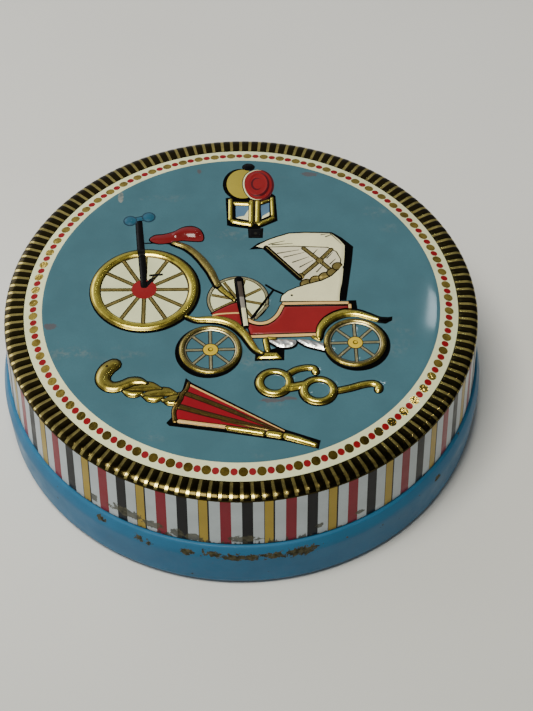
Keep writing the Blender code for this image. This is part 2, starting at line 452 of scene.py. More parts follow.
def draw_car(art):
    """Early open motor car, seen from its side and facing left."""
    draw_hood(art)
    draw_seat(art)

    bonnet = [(-9.8, -5.2), (-6, -2.6), (-3.2, -1), (-1.2, -0.4), (-0.4, -5), (0.2, -10.6), (-3.6, -8.4),
              (-7.6, -6.8)]
    art.outlined("red", bonnet, 0.35, 0.8, line=0.4)
    art.stroke("peach", [(-9.4, -5.9), (-5, -5.4), (-0.6, -5.1)], 0.6)

    art.bar("pale_gold", [(8.9, -1.6), (7.4, -3.9), (5, -7.2)], 0.8, 0.2, line=0.3)
    art.stroke("black", [(11, 5.4), (7.6, -0.4), (3.7, -7.2)], [0.8, 0.95, 1.1])
    art.stroke("black", [(8.4, 7.6), (11.1, 5.4), (14.1, 3.7)], 0.85)

    body = [(2, -9.6), (4, -10.3), (6.2, -10.9), (9, -10.4), (11.4, -8.6), (13.2, -6), (14.6, -2.2),
            (36.2, -1.8), (36, -4.4), (33, -4.6), (29.6, -6.6), (27.2, -9.8), (25.6, -14), (3.4, -14.6)]
    art.outlined("red", body, 0.5, 1.1)
    sill = [(2.2, -7.9), (4.2, -9.1), (6.6, -9.6), (9.2, -8.9), (11.4, -7), (12.8, -4.8), (13.7, -2.4),
            (14.5, -0.9)]
    art.bar("peach", smooth(sill), 1.15, 0.3, line=0.35)
    art.bar("peach", [(14.4, -0.8), (25, -0.5), (36.8, -0.4)], 1.1, 0.3, line=0.35)
    art.outlined("black", [(36.4, 0.6), (38.9, 0.7), (39.3, -3.6), (36.6, -3.6)], line=0.1)
    art.bar("peach", [(36.8, -1.4), (36.8, -2.8)], 1, 0.3, line=0.25)
    art.bar("peach", [(3.6, -15.4), (14, -14.9), (25.2, -14.5)], 1.1, 0.3, line=0.4)

    muffler = [(9.2, -16.8), (12, -16.9), (14.6, -16.6), (18.2, -16.9), (18.3, -18.6), (16.6, -19.8),
               (13.6, -20), (10.8, -18.6)]
    pipe = [(18.8, -16.7), (22.6, -16.8), (26, -17.8), (28.8, -18.8), (28.9, -21.4), (25.6, -20.6),
            (21.6, -19.2)]
    for outline in (muffler, pipe):
        shape = smooth(outline, closed=True)
        art.fill("black", grown([(x + 0.1, y - 0.5) for x, y in shape], 0.45))
        art.fill("silver", shape)
        art.relief.plate(shape, 1.1, 0.45)
    for crease, wide in (([(10.6, -17.6), (12.4, -18.8)], 1.6), ([(13, -17.2), (14.4, -19.2)], 1.7),
                         ([(15.4, -17.4), (17.4, -18.4)], 1.6), ([(20.2, -17.4), (22, -18.6)], 1.5),
                         ([(22.8, -17.6), (24.6, -19.6)], 1.5), ([(25.6, -18.6), (28, -20.2)], 1.5)):
        art.relief.tube(crease, wide, 0.75)
    art.bar("gold", [(9.2, -16.1), (11.6, -16.3)], 1, 0.5, line=0.2)
    art.bar("gold", [(24.2, -15.6), (26.4, -16.8)], 1.1, 0.5, line=0.2)

    art.outlined("black", [(4.8, -25.7), (14.4, -25.4), (14.5, -20.8), (12.6, -20), (5, -22.8)], line=0.1)
    art.bar("gold", [(8.3, -16.8), (9, -21.4)], 1.6, 0.5, line=0.35)
    art.outlined("gold", [(5.4, -24.9), (13.6, -24.7), (12, -22.3), (7, -22.5)], 0.5, 0.9, line=0.3)

    draw_road_wheel(art, (-10, -21), (-0.6, -0.9))
    draw_road_wheel(art, (38.2, -17.9), (0.5, -0.9))

    front_guard = [(-18.4, -6.6), (-14.8, -7.8), (-10.4, -7.7), (-6, -8.3), (-2, -10.4), (1.2, -14),
                   (3.2, -17.6), (5.2, -21), (7.2, -22.6)]
    art.bar("gold", smooth(front_guard), [0.9, 2.2, 2.8, 2.9, 2.9, 2.8, 2.5, 2.1, 1.3], 0.85,
            shade=(-0.3, -0.4))
    rear_guard = [(26.2, -16), (26.6, -12.4), (28.6, -9), (31.6, -6.6), (35.2, -5.2), (39, -5.2),
                  (42.8, -6.6), (46.2, -8), (49.2, -8)]
    art.bar("gold", smooth(rear_guard), [1.6, 2.4, 2.9, 3.1, 3.1, 2.9, 2.5, 2, 1.2], 0.85,
            shade=(0.25, 0.2))
    art.fill("black", [(45.6, -9.2), (46.6, -7.5), (48.6, -7), (51, -6.4), (50.9, -8.2), (48.6, -9.7)])

    post = [(-0.9, 9.8), (0.2, -1), (1.6, -10.8)]
    art.stroke("black", post, [3.3, 3.2, 2.5])
    for start, end, ink in ((0.04, 0.38, "umber"), (0.38, 0.62, "grey"), (0.62, 1, "white")):
        strip = between(post[0], post[-1], (start, end))
        art.fill(ink, ribbon([(x + 0.1, y) for x, y in strip], 1.5, False))
    art.relief.tube(post, [3, 3, 2], 0.55)


def draw_lantern(art):
    """Carriage lantern: knob, domed reflector, red side lens, glazed body and foot."""
    art.outlined("charcoal", [(2.4, 33.8), (7.2, 33.8), (7, 29.7), (2.6, 29.7)], 0.3, 0.8, line=0.3)
    art.discs((4.8, 31.4), ("dark_line", 0.6, 16))
    frame_outline = [(-5.9, 48.6), (-5.2, 35.4), (-3.8, 34.9), (3.4, 33.6), (5.2, 33.5), (12.5, 37.6),
                     (11.8, 49.6), (10.4, 51), (3, 50.4)]
    art.fill("black", frame_outline)
    for pane in ([(-2.3, 45.2), (2.3, 45), (2.2, 37.9), (-2.2, 39)],
                 [(6.5, 44.9), (9.6, 46.4), (9.6, 40.2), (6.9, 38.5)]):
        art.fill("glass", pane)
    for glint in ([(2.3, 43), (2.2, 37.9), (-2.2, 39), (-1, 39.6), (0.8, 40)],
                  [(9.6, 41.8), (9.6, 40.2), (6.9, 38.5), (7.2, 39.9)]):
        art.fill("white", glint)
    art.fill("dark_gold", [(3.2, 47.4), (5.8, 47.4), (5.6, 36.2), (3.3, 36)])
    for path, width in (([(-2.4, 46), (2.2, 45.7)], 1.7), ([(6.8, 46.2), (9.4, 47.4)], 1.2),
                        ([(-4.1, 47.6), (-4, 38.2)], 1.5), ([(10.6, 48.4), (10.9, 40.2)], 1.3),
                        ([(-3.2, 37.3), (0.2, 36.4), (3.2, 35.8)], 1.7),
                        ([(6, 36.1), (8.4, 37.2), (10.9, 38.8)], 1.6), ([(3.3, 46.8), (3.3, 37)], 1.7),
                        ([(5.6, 46.8), (5.5, 37.2)], 1.7)):
        art.bar("gold", path, width, 0.6, line=0.2)

    for ink, x, across, up in (("black", -0.9, 6.1, 7.6), ("yellow", 0.1, 5.7, 7.1)):
        art.fill(ink, ellipse((x, 55.4), across, up, 72))
    art.relief.dome((-0.4, 55.4), 6.4, 8.4, 0.75)
    art.outlined("charcoal", ellipse((2.1, 63.9), 2.1, 1.7, 32), 0.45, 1.5, line=0.2)
    lens = (5.6, 55.1)
    for ink, centre, across, up in (("dark_red", (6.1, 55), 5.2, 7.6), ("dark_line", (5, 55.1), 5.1, 7.6),
                                    ("cream", (5.2, 55.1), 5, 7.4), ("red", lens, 4.9, 7.2)):
        art.fill(ink, ellipse(centre, across, up, 72))
    for offset, size, aside in ((-0.1, 0.84, -0.45), (-0.5, 0.42, 0.4)):
        middle = (lens[0] + offset, lens[1])
        art.fill("dark_red", ellipse(middle, 4.9 * size, 7.2 * size, 56))
        art.fill("red", ellipse((middle[0] + aside, middle[1] + 0.1), 4.9 * size - 0.3, 7.2 * size - 0.5,
                                56))
    art.relief.dome(lens, 5.6, 8, 0.6)
    art.relief.ring(np.array(lens), 3.4, 5.2, 1.6, 0.75)


def draw_umbrella(art):
    """Rolled umbrella with a hooked handle of twisted strands."""
    lobes = (([(-38.3, -38.3), (-36.3, -39.7), (-34.4, -40), (-32.2, -39.6)], [0.8, 2.2, 2.4, 1.2]),
             ([(-31.8, -40.4), (-29.4, -41.8), (-27.3, -42), (-25.4, -41.5)], [0.8, 2.2, 2.4, 1.2]),
             ([(-25, -42.3), (-23, -43.4), (-20.9, -43.2), (-19.4, -42.4)], [0.8, 2.2, 2.4, 1.6]))
    strands = (([(-25, -42.6), (-22.6, -42), (-20.4, -40.9), (-18.6, -40.4)], [1, 2.6, 3.4, 3]),
               ([(-31.8, -40.4), (-28.9, -39.6), (-26, -38.9), (-23.6, -38.9), (-20.9, -39.7)],
                [1, 3, 4, 3.4, 1]), ([(-38.3, -38), (-35.1, -37.2), (-31.8, -36.6), (-28.9, -36.7),
                                      (-26, -37.6)], [1, 3, 4.2, 3.6, 1]))
    for path, width in lobes:
        art.bar("gold", smooth(path), width, 0.8, line=0.35)
    for path, width in strands:
        art.bar("rope_gold", smooth(path), width, 0.36, line=0.3)
    hook = [(-41.8, -27.4), (-43.6, -29), (-45, -31.8), (-44.9, -34.6), (-43, -36.6), (-40.6, -36.9),
            (-38, -35.9), (-35.4, -34.6), (-32.8, -34.6), (-30.8, -35.4)]
    art.bar("rope_gold", smooth(hook), [4.6, 5, 4.7, 4.5, 4.3, 4, 3.6, 3.7, 3.2, 1], 0.85, line=0.45)
    art.discs((-44, -28.6), ("bronze", 0.5, 16))

    tip = (14.3, -56)
    art.fill("black", [(-17.9, -33), (-16, -34.9), (14.7, -54.2), (26, -58.6), (25.3, -62), (14.4, -58.9),
                       (-4, -55.6), (-22.7, -52.8), (-23.8, -51.6), (-22.2, -49.4), (-22.2, -46.6),
                       (-20.4, -41), (-18.8, -37.6)])
    cloth = [(-17, -35.2), (14.4, -54.8), tip, (-20.8, -50.8), (-20.9, -47.2), (-19.6, -43.4),
             (-18.2, -39.2)]
    art.fill("cloth_red", cloth)
    art.relief.plate(cloth, 1.4, 0.35)
    ribs = (([(-18, -39.6), (-6.8, -44.9), (14, -55.6)], [1.3, 1.1, 0.6]),
            ([(-20, -45), (-9.5, -48.6), (14, -55.8)], [1.5, 1.2, 0.6]),
            ([(-4, -46.4), (4, -50.6), (14, -55.7)], [0.3, 0.6, 0.4]),
            ([(-6, -51), (4, -53.2), (14, -55.9)], [0.3, 0.8, 0.4]))
    for path, width in ribs:
        run = smooth(path)
        art.stroke("rib_shade", run, np.array(width) * 1.7)
        art.stroke("dark_gold", run, width)
        art.relief.tube(run, np.array(width) + 0.6, 0.5)
    # painted highlight: a pale peach line along the cloth's top edge
    art.stroke("peach", [(-16.6, -36), (14.2, -54.9)], [0.8, 0.5])
    hem = smooth([(-16.9, -35), (-17.5, -37.7), (-19, -40), (-19.4, -42.2), (-21, -45.4), (-21.4, -47.6),
                  (-21, -50.9)])
    art.bar("dark_gold", hem, [0.8, 1.1, 1.4, 1.1, 1.4, 1.1, 1.3], 0.5, line=0.3)
    # painted highlight: the pale peach left part of the cloth's lower edge
    art.bar("peach", smooth([(-19.6, -51.1), (-12, -52.3), (-4.6, -53.4)]), 1.3, 0.7, line=0.3)
    for path, width, height in (([(-3.6, -53.8), (7.4, -55.8)], [1.8, 2.1], 0.75),
                                ([(9.4, -56.1), (13, -56.8)], 2.2, 0.75),
                                ([(15.2, -57), (19, -58.3), (24.2, -60.5)], [2.7, 2.6, 1.9], 0.8)):
        art.bar("gold", path, width, height, line=0.3)


def draw_spectacles(art):
    """Round-rimmed spectacles lying open."""
    arms = (([(15.6, -31.6), (18.4, -29.6), (21.8, -28.7), (24.2, -29), (24.8, -30.6)], 2.1),
            ([(30.8, -38.6), (35.6, -37.4), (40.4, -35.8), (43.8, -35.4), (45.4, -36.8), (45.2, -38)],
             2.3))
    for path, width in arms:
        art.bar("gold", smooth(path), width, 0.75, line=0.45)
    rims = (np.array([11.2, -35]), np.array([25.6, -38.3]))
    for rim in rims:
        art.fill("black", ellipse(rim + (-0.1, -0.1), 6.6, 6.4, 80))
    bridge = smooth([(14.4, -37.6), (18.2, -36.6), (21.6, -35.6)])
    art.bar("gold", bridge, [2.6, 3, 2.6], 0.7, line=0.45)
    # painted shade: darker gold under each rim, with the lighter gold moved up and left
    for ink, off, across, up in (("shaded_gold", (0, 0), 6.1, 5.9), ("gold", (-0.15, 0.2), 5.5, 5.25)):
        for rim in rims:
            art.fill(ink, ellipse(rim + off, across, up, 80))
    art.fill("gold", ribbon(bridge, [2.4, 2.6, 2.4]))
    for rim in rims:
        art.fill("black", ellipse(rim + (0.1, 0.2), 3.8, 3.4, 64))
        art.fill("panel_blue", ellipse(rim + (0.2, 0.2), 3.5, 3.05, 64))
        art.relief.ring(rim, 4.8, 4.5, 2.5, 0.85)


def draw_dots(art):
    """Gold and red dots in turn on the cream ring."""
    for k in range(2 * DOT_PAIRS):
        angle = DOT_TURN + math.pi * k / DOT_PAIRS
        centre = (DOT_RADIUS * math.cos(angle), DOT_RADIUS * math.sin(angle))
        ink, size = DOTS[k % 2]
        art.fill(ink, circle(centre, size, 24))


def draw_picture():
    """The whole picture of the lid, from the ground up."""
    art = Picture()
    art.fill("cream", circle((0, 0), BORDER_RADIUS, FLUTES * len(FLUTE_STATIONS)))
    art.fill("panel_blue", circle((0, 0), PANEL_RADIUS, 720))
    draw_lantern(art)
    draw_high_wheeler(art)
    draw_car(art)
    draw_umbrella(art)
    draw_spectacles(art)
    draw_dots(art)
    art.relief.soften()
    return art


# ---- Materials --------------------------------------------------------------------------------
def add_node(tree, kind, inputs, **settings):
    """A new shader node; inputs are sockets to link or values to set, by place or by name."""
    node = tree.nodes.new("ShaderNode" + kind)
    for name, value in settings.items():
        setattr(node, name, value)
    for key, value in inputs.items() if isinstance(inputs, dict) else enumerate(inputs):
        if isinstance(value, bpy.types.NodeSocket):
            tree.links.new(value, node.inputs[key])
        else:
            node.inputs[key].default_value = value
    return node


class Finish:
    """A Principled material with short ways to add nodes. Patterns use object coordinates."""

    def __init__(self, name, roughness, metallic=0.0, coat=0.0, coat_roughness=0.1, specular=0.5):
        self.material = bpy.data.materials.new(name)
        self.material.use_nodes = True
        self.tree = self.material.node_tree
        self.shader = self.tree.nodes["Principled BSDF"]
        for key, value in (("Roughness", roughness), ("Metallic", metallic), ("Coat Weight", coat),
                           ("Coat Roughness", coat_roughness), ("Specular IOR Level", specular)):
            self.shader.inputs[key].default_value = value
        self.place = self.tree.nodes.new("ShaderNodeTexCoord").outputs["Object"]

    def maths(self, operation, *values):
        return add_node(self.tree, "Math", values, operation=operation).outputs[0]

    def noise(self, scale, detail=3.0, roughness=0.5, stretch=None):
        """Noise from 0 to 1; scale is features per metre, stretch squeezes it along x, y and z."""
        place = self.place
        if stretch:
            place = add_node(self.tree, "Mapping", {"Vector": place, "Scale": stretch}).outputs[0]
        looks = {"Vector": place, "Scale": scale, "Detail": detail, "Roughness": roughness}
        return add_node(self.tree, "TexNoise", looks).outputs["Fac"]

    def band(self, value, low, high, bottom=0.0, top=1.0):
        """value stretched from low..high to bottom..top, and held there."""
        return add_node(self.tree, "MapRange", (value, low, high, bottom, top)).outputs[0]

    def mix(self, share, first, second):
        """Two colours blended; each is a socket or (red, green, blue)."""
        first, second = ((*c, 1.0) if isinstance(c, tuple) else c for c in (first, second))
        inputs = {"Factor": share, "A": first, "B": second}
        return add_node(self.tree, "Mix", inputs, data_type="RGBA").outputs["Result"]

    def blotches(self, places, ragged=0.9, scale=520.0):
        """1 in ragged spots; places hold each centre and half-size, (x, y, z) in millimetres."""
        frayed = self.maths("SUBTRACT", self.noise(scale, 6.0, 0.68), 0.5)
        rough_edge = self.maths("MULTIPLY", frayed, ragged)
        found = 0.0
        for centre, half in places:
            away = self.place
            for operation, numbers in (("SUBTRACT", Vector(centre) * MM), ("DIVIDE", half)):
                node = add_node(self.tree, "VectorMath", (away, numbers), operation=operation)
                away = node.outputs["Vector"]
            length = add_node(self.tree, "VectorMath", (away,), operation="LENGTH").outputs["Value"]
            size = self.maths("ADD", self.maths("MULTIPLY", length, 1.0 / MM), rough_edge)
            found = self.maths("MAXIMUM", self.band(size, 1.0, 0.94), found)
        return found

    def axes(self):
        return add_node(self.tree, "SeparateXYZ", (self.place,)).outputs

    def bump(self, height, strength, distance):
        node = add_node(self.tree, "Bump", {"Strength": strength, "Distance": distance, "Height": height})
        self.tree.links.new(node.outputs["Normal"], self.shader.inputs["Normal"])

    def looks(self, colour, rough):
        """Link patterns for the colour and the roughness to the shader."""
        self.tree.links.new(colour, self.shader.inputs["Base Color"])
        self.tree.links.new(rough, self.shader.inputs["Roughness"])


def darker(colour, share):
    return tuple(channel * share for channel in colour)


RUST = ((0.024, 0.022, 0.012), (0.090, 0.082, 0.045))
OLD_DIRT = ((0.13, 0.13, 0.11), (0.34, 0.32, 0.27))
STAIN = (0.11, 0.040, 0.030)


def enamel(name, colour, worn=None, gloss=0.12, wear_tints=RUST, shine=0.16, varnish=0.07, stained=None):
    """Printed enamel under varnish: faint mottling, fine scuffs, and wear and stains where asked."""
    finish = Finish(name, 0.38, coat=gloss, coat_roughness=varnish, specular=shine)
    mottled = finish.mix(finish.band(finish.noise(90.0, 4.0), 0.35, 0.65),
                         darker(colour, 0.93), darker(colour, 1.06))
    grain = finish.noise(1400.0, 2.0)
    shade = finish.mix(finish.band(grain, 0.42, 0.7, 0.0, 0.3), mottled, darker(colour, 0.86))
    scuffs = finish.band(finish.noise(420.0, 5.0, 0.65), 0.68, 0.73, 0.0, 0.3)
    shade = finish.mix(scuffs, shade, tuple(0.7 * c + 0.25 * max(colour) for c in colour))
    rough = finish.band(finish.noise(150.0, 4.0, 0.6), 0.3, 0.75, 0.28, 0.46)
    if stained:
        shade = finish.mix(stained(finish), shade, STAIN)
    if worn:
        mask = worn(finish)
        bare = finish.mix(finish.band(finish.noise(700.0, 4.0), 0.35, 0.65), *wear_tints)
        shade = finish.mix(mask, shade, bare)
        rough = finish.maths("MAXIMUM", rough, finish.maths("MULTIPLY", mask, 0.6))
    finish.looks(shade, rough)
    finish.bump(finish.noise(1500.0, 3.0), 0.07, 0.0001)
    return finish.material


def metal(name, colour, tarnish, roughness=0.16, tarnished=0.55, uneven_by=0.14, ripple=(380.0, 0.00002)):
    """Lacquered tinplate that shows as metal, mottled dark; ripple is waves per metre and their height."""
    finish = Finish(name, roughness, metallic=1.0)
    cloud = finish.band(finish.noise(230.0, 5.0, 0.62), 0.42, 0.68)
    speck = finish.band(finish.noise(1300.0, 3.0, 0.7), 0.58, 0.68)
    shade = finish.mix(finish.maths("MULTIPLY", cloud, tarnished), colour, tarnish)
    shade = finish.mix(finish.maths("MULTIPLY", speck, 0.25), shade, darker(tarnish, 0.6))
    low = roughness - 0.3 * uneven_by
    finish.looks(shade, finish.band(finish.noise(480.0, 4.0, 0.6), 0.3, 0.7, low, low + uneven_by))
    finish.bump(finish.noise(ripple[0], 2.0), 0.7, ripple[1])
    return finish.material


def tinplate(name, colour=(0.62, 0.61, 0.57)):
    """Bare tinplate: rolling grain, cloudy crystals and small stains."""
    finish = Finish(name, 0.3, metallic=1.0)
    grain = finish.noise(60.0, 5.0, 0.6, stretch=(1.0, 26.0, 1.0))
    clouds = finish.noise(55.0, 5.0, 0.65)
    shade = finish.mix(finish.band(grain, 0.35, 0.65), darker(colour, 0.86), colour)
    shade = finish.mix(finish.band(clouds, 0.55, 0.75, 0.0, 0.5), shade, (0.40, 0.36, 0.29))
    finish.looks(shade, finish.band(grain, 0.3, 0.7, 0.24, 0.42))
    finish.bump(grain, 0.12, 0.0001)
    return finish.material


def on_side(radius, spots):
    """Places for blotches on the tin's side, from (azimuth in degrees, height, half-sizes)."""
    places = []
    for azimuth, height, half_width, half_height in spots:
        turn = math.radians(azimuth)
        places.append(((radius * math.cos(turn), radius * math.sin(turn), height),
                       (half_width, half_width, half_height)))
    return places


def on_panel(spots, deep=3.0):
    """Places for blotches on the blue panel, from (x, y, half-sizes along x and y)."""
    return [((x, y, PANEL_TOP), (half_x, half_y, deep)) for x, y, half_x, half_y in spots]


SKIRT_SPOTS = ((242.5, 26.9, 5.6, 2.2), (249.5, 25.6, 3.8, 1.8), (255.6, 24.4, 2.2, 2.3),
               (259.3, 23.4, 2.8, 1.9), (270.8, 24.5, 5.0, 1.9), (288.6, 26.3, 1.2, 1.2),
               (298.6, 25.6, 1.6, 1.1), (233.7, 25.9, 1.6, 1.7))
WALL_SPOTS = ((236.5, 19.0, 1.7, 1.3), (246.4, 18.2, 1.5, 1.3), (248.9, 17.6, 1.2, 1.2),
              (257.8, 17.6, 2.2, 1.7), (263.6, 18.0, 3.4, 1.4), (268.6, 16.9, 4.4, 1.6),
              (272.4, 16.7, 3.0, 1.7), (277.6, 16.9, 4.4, 1.4), (283.6, 17.0, 6.4, 2.0),
              (322.6, 16.4, 1.7, 1.3))
PANEL_MARKS = ((-43.0, 49.0, 1.0, 2.6), (-44.5, 53.0, 0.9, 1.2))
PANEL_STAINS = ((-64.0, -11.0, 2.2, 1.5), (10.4, -42.3, 4.0, 0.9), (15.6, -41.4, 3.4, 0.7),
                (24.0, 60.4, 3.0, 1.1), (-15.6, 61.6, 0.8, 1.0))
CHIP_HEIGHT = 0.0172                  # middle of the chipped belt round the wall, in metres


def skirt_wear(finish):
    """Rubbed patches low on the skirt, and nicks along its lower edge, the tallest in front."""
    _, y, z = finish.axes()
    nicks = finish.noise(650.0, 3.0, 0.6, stretch=(1.0, 1.0, 0.15))
    reach = finish.band(y, -0.074, -0.0795, 0.0010, 0.0032)
    tall = finish.maths("MULTIPLY", finish.band(nicks, 0.46, 0.68), reach)
    nicked = finish.band(finish.maths("SUBTRACT", z, tall), (LID_EDGE + 0.2) * MM, (LID_EDGE - 0.1) * MM)
    rubbed = finish.blotches(on_side(SKIRT_RADIUS, SKIRT_SPOTS), 3.0)
    return finish.maths("MULTIPLY", finish.maths("MAXIMUM", rubbed, nicked), 0.85)


def wall_wear(finish):
    """Small chips in a belt round the wall, and worn patches, most of them in front."""
    _, _, z = finish.axes()
    chips = finish.noise(240.0, 6.0, 0.62, stretch=(1.0, 1.0, 1.4))
    off_belt = finish.maths("ABSOLUTE", finish.maths("SUBTRACT", z, CHIP_HEIGHT))
    belt = finish.maths("MULTIPLY", finish.band(off_belt, 0.003, 0.0002), 0.05)
    worn = finish.band(finish.maths("ADD", chips, belt), 0.70, 0.715)
    return finish.maths("MAXIMUM", worn, finish.blotches(on_side(WALL_TOP_RADIUS, WALL_SPOTS), 4.0, 640.0))


def panel_stains(finish):
    """Brown stains: one on the left, two by the spectacles, and two at the back."""
    return finish.maths("MULTIPLY", finish.blotches(on_panel(PANEL_STAINS), 2.0), 0.5)


def panel_smears(finish):
    """Two old marks on the blue ground, and faint greyish smears left by handling."""
    marks = finish.maths("MULTIPLY", finish.blotches(on_panel(PANEL_MARKS), 1.3), 0.6)
    smear = finish.band(finish.noise(34.0, 3.0, 0.5, stretch=(1.0, 2.2, 1.0)), 0.60, 0.72, 0.0, 0.25)
    broken = finish.band(finish.noise(620.0, 4.0, 0.7), 0.45, 0.6)
    return finish.maths("MAXIMUM", marks, finish.maths("MULTIPLY", smear, broken))


def make_inks():
    """Every material of the lid's picture, by name."""
    inks = (
        enamel("panel_blue", (0.047, 0.126, 0.158), panel_smears, 0.4, OLD_DIRT, varnish=0.045,
               stained=panel_stains),
        enamel("cream", (0.72, 0.745, 0.45)),
        enamel("white", (0.80, 0.77, 0.47)),
        enamel("lining", (0.70, 0.655, 0.46)),
        enamel("grey", (0.24, 0.22, 0.19)),
        enamel("umber", (0.060, 0.046, 0.036)),
        enamel("red", (0.225, 0.011, 0.012)),
        enamel("dot_red", (0.22, 0.006, 0.010), shine=0.08),
        enamel("cloth_red", (0.23, 0.006, 0.012), shine=0.08),
        enamel("leather", (0.17, 0.009, 0.010), gloss=0.5, shine=0.06),
        enamel("dark_red", (0.070, 0.004, 0.008)),
        enamel("black", (0.0012, 0.0012, 0.0012), gloss=0.0, shine=0.04),
        enamel("charcoal", (0.0030, 0.0030, 0.0034), gloss=0.05, shine=0.08),
        enamel("dark_line", (0.018, 0.017, 0.013), gloss=0.05, shine=0.08),
        enamel("yellow", (0.33, 0.265, 0.036)),
        enamel("hub_yellow", (0.60, 0.42, 0.030)),
        enamel("peach", (0.72, 0.45, 0.16)),
        enamel("glass", (0.085, 0.165, 0.26)),
        enamel("navy", (0.012, 0.040, 0.065)),
        enamel("knob_blue", (0.020, 0.090, 0.145), gloss=0.1),
        metal("gold", (0.76, 0.62, 0.095), (0.27, 0.20, 0.025), 0.20),
        # painted shade: darker gold for the shaded lower right edges of gold bars, wheel rims and
        # spectacle rims
        metal("shaded_gold", (0.20, 0.155, 0.030), (0.08, 0.06, 0.012), 0.24),
        metal("aged_gold", (0.38, 0.30, 0.085), (0.13, 0.10, 0.03), 0.22),
        metal("rope_gold", (0.50, 0.40, 0.075), (0.18, 0.135, 0.028), 0.20),
        metal("dot_gold", (0.60, 0.44, 0.09), (0.24, 0.16, 0.03), 0.07, 0.8, 0.05, (850.0, 0.00011)),
        metal("spoke_gold", (0.40, 0.31, 0.10), (0.22, 0.16, 0.04), 0.36),
        metal("pale_gold", (0.62, 0.56, 0.32), (0.42, 0.36, 0.17), 0.32),
        metal("dark_gold", (0.17, 0.11, 0.028), (0.09, 0.055, 0.014), 0.28),
        enamel("rib_shade", (0.030, 0.008, 0.004), gloss=0.03, shine=0.08),
        metal("bronze", (0.060, 0.042, 0.013), (0.03, 0.02, 0.01), 0.3),
        metal("silver", (0.95, 0.94, 0.90), (0.50, 0.47, 0.42), 0.30),
    )
    return {ink.name: ink for ink in inks}


def make_band_finishes():
    """Materials of the fluted shoulder and the striped skirt, and the lid's bare inside, by name."""
    finishes = (
        metal("band_black", (0.032, 0.025, 0.008), (0.022, 0.016, 0.005), 0.14, 0.5, 0.06),
        metal("band_gold", (0.56, 0.455, 0.14), (0.21, 0.17, 0.055), 0.17, 0.6, 0.07),
        enamel("stripe_red", (0.21, 0.006, 0.018), skirt_wear, shine=0.12),
        enamel("stripe_black", (0.0045, 0.0042, 0.0062), skirt_wear, 0.08, shine=0.10),
        enamel("stripe_white", (0.46, 0.51, 0.53), skirt_wear, shine=0.12),
        enamel("stripe_gold", (0.37, 0.26, 0.034), skirt_wear, shine=0.12),
        tinplate("lid_tinplate"),
    )
    return {finish.name: finish for finish in finishes}


# ---- Meshes -----------------------------------------------------------------------------------
def add_piece(name, vertices, faces, materials, indices, body, slot_name, *nodes):
    """Make a mesh object in millimetre coordinates and tie it to the frame."""
    mesh = bpy.data.meshes.new(name)
    mesh.from_pydata((np.array(vertices, float) * MM).tolist(), [], faces)
    for material in materials:
        mesh.materials.append(material)
    mesh.polygons.foreach_set("material_index", np.array(indices, np.int32))
    mesh.shade_smooth()
    piece = bpy.data.objects.new(name, mesh)
    bpy.context.scene.collection.objects.link(piece)
    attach(piece, body)
    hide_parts(*nodes)
    return piece


def sheet_height(radius):
    """Height of the lid's middle and cream ring before the pictures are pressed in."""
    bend, soft = PANEL_RADIUS - 0.3, 0.45
    slope = (PANEL_TOP - BORDER_TOP) / (BORDER_RADIUS - bend)
    reach = radius - bend
    return PANEL_TOP - slope * (np.hypot(reach, soft) + reach) / 2.0


def lattice(relief, spacing, pressed, blocked=None):
    """Points of a triangular lattice over the lid's middle, on the relief or off it."""
    rows = np.arange(-BORDER_RADIUS, BORDER_RADIUS, spacing * math.sqrt(0.75))
    columns = np.arange(-BORDER_RADIUS, BORDER_RADIUS, spacing)
    x, y = np.meshgrid(columns, rows)
    x[::2] += spacing / 2.0
    x, y = x.ravel(), y.ravel()
    i, j = relief.cell(x), relief.cell(y)
    keep = (np.hypot(x, y) < BORDER_RADIUS - 0.4) & ((relief.field[j, i] > 0.004) == pressed)
    if blocked is not None:
        keep &= ~blocked[j, i]
    return list(zip(x[keep], y[keep]))


def bend_circles(step, count):
    """Points on circles across the bend between the flat middle and the cream ring."""
    return [p for radius in np.arange(PANEL_RADIUS - 1.2, PANEL_RADIUS + 1.0, step)
            for p in circle((0.0, 0.0), radius, count)]


def triangulate(points, edges):
    """Plan points and counter-clockwise triangles that keep to the edges."""
    result = geometry.delaunay_2d_cdt([Vector(p) for p in points], edges, [], 0, 1e-5, False)
    plan = np.array([tuple(v) for v in result[0]])
    triangles = np.array([tuple(f) for f in result[2]])
    a, b, c = (plan[triangles[:, k]] for k in range(3))
    turn = (b[:, 0] - a[:, 0]) * (c[:, 1] - a[:, 1]) - (b[:, 1] - a[:, 1]) * (c[:, 0] - a[:, 0])
    triangles[turn < 0] = triangles[turn < 0][:, ::-1]
    return plan, triangles


def closed_edges(first, count):
    """Pairs of point numbers round a closed outline."""
    return [(first + k, first + (k + 1) % count) for k in range(count)]


def picture_mesh(picture):
    """Triangles of the lid's plan that follow every ink's outline, with points on the relief."""
    points, edges = [], []
    for _, outline in picture.areas:
        edges += closed_edges(len(points), len(outline))
        points += outline
    relief = picture.relief
    near_line = np.zeros(relief.field.shape, bool)
    column, row = (relief.cell(np.array(points)[:, k]) for k in (0, 1))
    for dx in (-1, 0, 1):
        for dy in (-1, 0, 1):
            near_line[row + dy, column + dx] = True
    points += lattice(relief, 0.35, pressed=True, blocked=near_line)
    points += lattice(relief, 2.4, pressed=False, blocked=near_line)
    return triangulate(points + bend_circles(0.4, 360), edges)


def underside_mesh(relief):
    """A coarser mesh of the same plan, with the same points on its edge."""
    edge = circle((0.0, 0.0), BORDER_RADIUS, FLUTES * len(FLUTE_STATIONS))
    inner = lattice(relief, 0.75, pressed=True) + lattice(relief, 4.0, pressed=False)
    return triangulate(edge + inner + bend_circles(0.6, 240), closed_edges(0, len(edge)))


